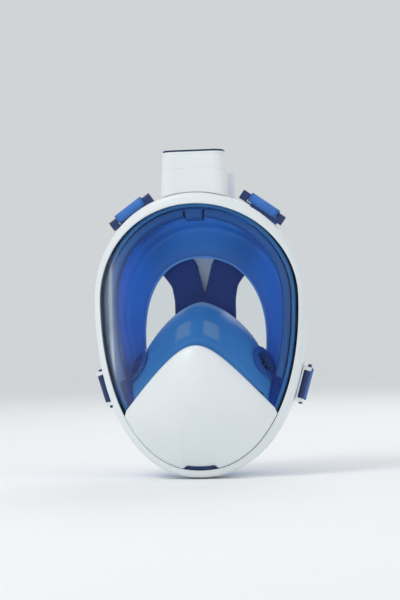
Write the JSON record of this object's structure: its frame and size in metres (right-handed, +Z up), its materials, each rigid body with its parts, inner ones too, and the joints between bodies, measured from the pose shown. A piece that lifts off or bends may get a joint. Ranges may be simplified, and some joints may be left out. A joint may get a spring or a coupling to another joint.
{
  "type": "full face snorkel mask",
  "caption": "Full face snorkelling mask: clear curved lens in a white frame, blue face seal and nose cup, chin cover, strap harness and a folding breathing tube on a socket.",
  "frame": {"origin": "centre of the face opening, on the plane where the seal's edge meets the face", "axes": "-Y looks out through the lens, +Y points to the wearer, +Z points up towards the snorkel socket, +X completes a right-handed frame"},
  "size_m": [0.1674, 0.111, 0.2473],
  "materials": {
    "shell_white": "satin moulded",
    "lens_clear": "clear polished",
    "skirt_blue": "soft matt silicone",
    "seal_navy": "matt",
    "fitting_navy": "fine texture",
    "webbing_blue": "woven elastic",
    "pad_navy": "knitted",
    "pin_steel": "turned",
    "trim_blue": "satin moulded",
    "float_orange": "moulded"
  },
  "bodies": {
    "mask": {"front_frame": "shell_white", "rear_frame": "shell_white", "lens": "lens_clear", "lens_seal": "seal_navy", "chin_cover": "shell_white", "chin_base": "fitting_navy", "face_skirt": "skirt_blue", "nose_cup": "skirt_blue", "exhale_duct_left": "seal_navy", "exhale_duct_right": "seal_navy", "intake_channel": "seal_navy", "inhale_seat_left": "trim_blue", "inhale_seat_right": "trim_blue", "drain_seat": "fitting_navy", "snorkel_socket": "shell_white", "socket_gasket": "seal_navy", "valve_plate": "shell_white", "hinge_bracket": "shell_white", "bracket_screws": "pin_steel", "hinge_pin": "pin_steel", "upper_loop_left": "fitting_navy", "upper_loop_right": "fitting_navy", "upper_strap_left": "webbing_blue", "upper_strap_right": "webbing_blue", "head_pad": "pad_navy", "lower_strap_left": "webbing_blue", "lower_strap_right": "webbing_blue", "lower_lug_left": "shell_white", "lower_lug_right": "shell_white", "clip_pin_left": "pin_steel", "clip_pin_right": "pin_steel"},
    "tube": {"tube_base": "shell_white", "tube_body": "shell_white", "tube_head": "shell_white", "head_seal": "seal_navy", "head_cap": "trim_blue"},
    "latch": {"lock_slider": "trim_blue"},
    "float_l": {"float_left": "float_orange"},
    "float_r": {"float_right": "float_orange"},
    "inhale_valve_l": {"inhale_disc_left": "seal_navy"},
    "inhale_valve_r": {"inhale_disc_right": "seal_navy"},
    "exhale_valve_l": {"exhale_flap_left": "seal_navy"},
    "exhale_valve_r": {"exhale_flap_right": "seal_navy"},
    "drain_valve": {"drain_disc": "skirt_blue"},
    "clip_l": {"lower_clip_left": "fitting_navy", "strap_tail_left": "webbing_blue"},
    "clip_r": {"lower_clip_right": "fitting_navy", "strap_tail_right": "webbing_blue"},
    "slider_l": {"strap_slider_left": "fitting_navy"},
    "slider_r": {"strap_slider_right": "fitting_navy"}
  },
  "joints": [
    {"name": "tube_fold", "type": "hinge", "parent": "mask", "child": "tube", "pos_m": [0, -0.013, 0.136], "axis": [1, 0, 0], "range_deg": [0, 180]},
    {"name": "latch_slide", "type": "slide", "parent": "tube", "child": "latch", "axis": [0, 0, 1], "range_m": [0, 0.006]},
    {"name": "float_left_slide", "type": "slide", "parent": "tube", "child": "float_l", "axis": [0, 0, 1], "range_m": [0, 0.006]},
    {"name": "float_right_slide", "type": "slide", "parent": "tube", "child": "float_r", "axis": [0, 0, 1], "range_m": [0, 0.006]},
    {"name": "inhale_left_lift", "type": "slide", "parent": "mask", "child": "inhale_valve_l", "axis": [0.8331, 0.3493, -0.4288], "range_m": [0, 0.0015], "stiffness_N_per_m": 15},
    {"name": "inhale_right_lift", "type": "slide", "parent": "mask", "child": "inhale_valve_r", "axis": [-0.8331, 0.3493, -0.4288], "range_m": [0, 0.0015], "stiffness_N_per_m": 15},
    {"name": "exhale_left_flap", "type": "hinge", "parent": "mask", "child": "exhale_valve_l", "pos_m": [-0.0106, -0.046, 0.1281], "axis": [0, 1, 0], "range_deg": [0, 35], "stiffness_Nm_per_rad": 0.0004},
    {"name": "exhale_right_flap", "type": "hinge", "parent": "mask", "child": "exhale_valve_r", "pos_m": [0.0106, -0.046, 0.1281], "axis": [0, -1, 0], "range_deg": [0, 35], "stiffness_Nm_per_rad": 0.0004},
    {"name": "drain_lift", "type": "slide", "parent": "mask", "child": "drain_valve", "axis": [0, -0.9798, -0.1999], "range_m": [0, 0.0015], "stiffness_N_per_m": 15},
    {"name": "clip_left_swivel", "type": "hinge", "parent": "mask", "child": "clip_l", "pos_m": [-0.07742, -0.02161, -0.03702], "axis": [-0.2773, 0, 0.9608], "range_deg": [0, 35]},
    {"name": "clip_right_swivel", "type": "hinge", "parent": "mask", "child": "clip_r", "pos_m": [0.07742, -0.02161, -0.03702], "axis": [-0.2773, 0, -0.9608], "range_deg": [0, 35]},
    {"name": "slider_left_travel", "type": "slide", "parent": "mask", "child": "slider_l", "axis": [-0.9608, 0, -0.2773], "range_m": [-0.006, 0.006]},
    {"name": "slider_right_travel", "type": "slide", "parent": "mask", "child": "slider_r", "axis": [0.9608, 0, -0.2773], "range_m": [-0.006, 0.006]}
  ]
}
